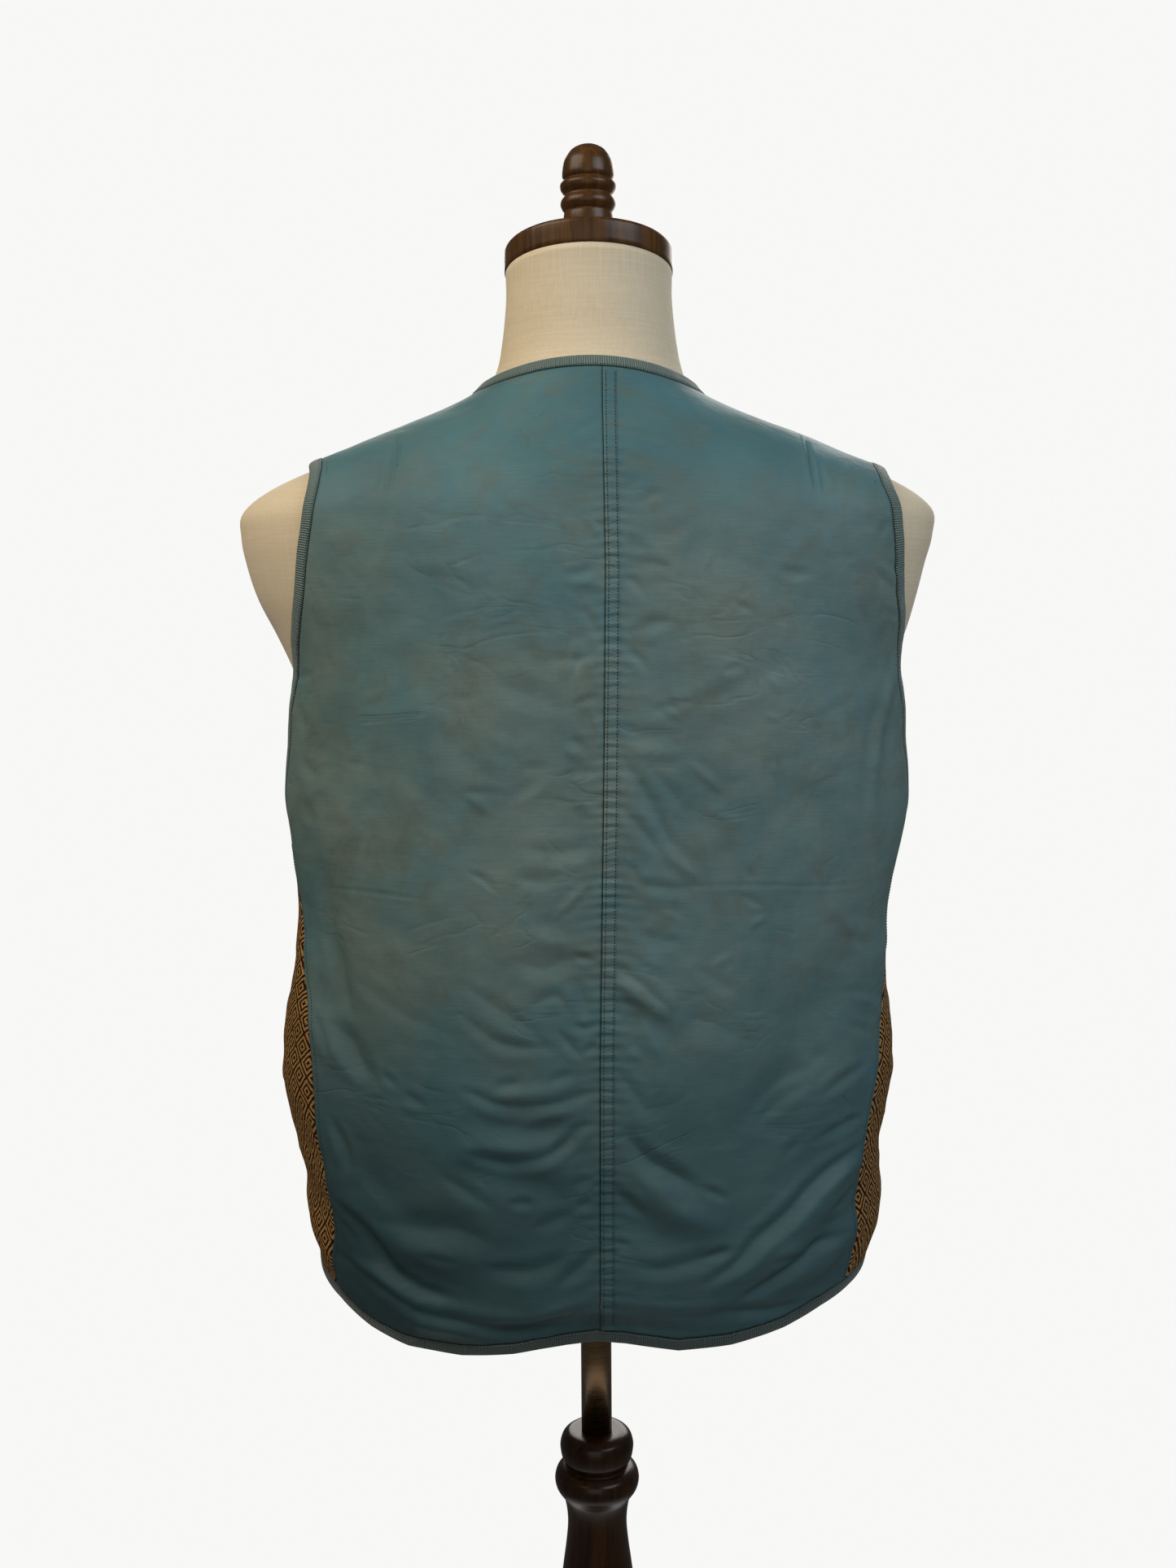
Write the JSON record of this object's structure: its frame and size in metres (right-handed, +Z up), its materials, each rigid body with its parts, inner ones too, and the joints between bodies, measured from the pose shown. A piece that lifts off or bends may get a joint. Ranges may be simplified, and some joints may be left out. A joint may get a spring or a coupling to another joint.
{
  "type": "liner vest on dress form",
  "caption": "Collarless liner vest with satin back, figured fronts and bound edges, worn on a limbless dress form on a turned stand.",
  "frame": {"origin": "centre of the base's underside, on the pole's axis, on the floor", "axes": "+Z up; the vest's fronts face -Y and its back +Y; the wearer's left side is +X"},
  "size_m": [0.467, 0.38, 1.6],
  "materials": {
    "teal_satin": "satin weave, worn",
    "figured_brown_cloth": "matt, woven diamond figure",
    "ribbed_tape": "matt, ribbed",
    "cream_linen": "matt, plain weave",
    "dark_walnut": "polished",
    "steel": "worn, satin"
  },
  "bodies": {
    "root": {"armhole_binding_left": "ribbed_tape", "armhole_binding_right": "ribbed_tape", "back_left": "teal_satin", "back_right": "teal_satin", "back_seam_strip": "teal_satin", "base_disc": "dark_walnut", "dart_left": "teal_satin", "dart_right": "teal_satin", "finial": "dark_walnut", "form_torso": "cream_linen", "front_left": "figured_brown_cloth", "front_right": "figured_brown_cloth", "hem_binding": "ribbed_tape", "neck_and_front_binding": "ribbed_tape", "neck_cap": "dark_walnut", "pole": "steel", "turned_column": "dark_walnut"}
  },
  "joints": []
}
